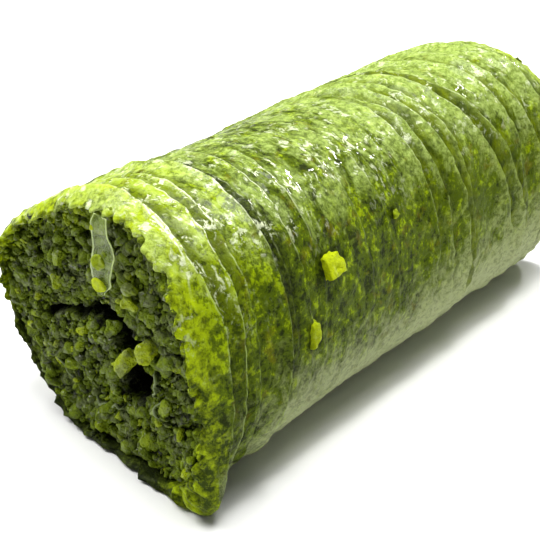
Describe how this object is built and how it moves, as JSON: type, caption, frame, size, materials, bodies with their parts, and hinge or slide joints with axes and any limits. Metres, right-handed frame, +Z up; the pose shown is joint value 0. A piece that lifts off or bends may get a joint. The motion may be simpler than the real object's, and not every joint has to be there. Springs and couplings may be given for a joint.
{
  "type": "pistachio roll",
  "caption": "Short log of thin syrup-soaked green pastry wound in pleats round a coarse ground-pistachio filling that shows at both cut ends.",
  "frame": {"origin": "middle of the footprint, on the surface that the roll rests on", "axes": "+Y along the roll, from its shown leaning cut to its other end; +Z up; +X to the right of someone facing the shown cut"},
  "size_m": [0.0308, 0.0598, 0.0252],
  "materials": {
    "pastry": "wet translucent pastry, glossy with syrup",
    "filling": "moist coarse ground nut",
    "film": "thin translucent pastry film, glossy"
  },
  "bodies": {
    "root": {"pastry_wrap": "pastry", "pistachio_filling": "filling", "pastry_shred": "film"}
  },
  "joints": []
}
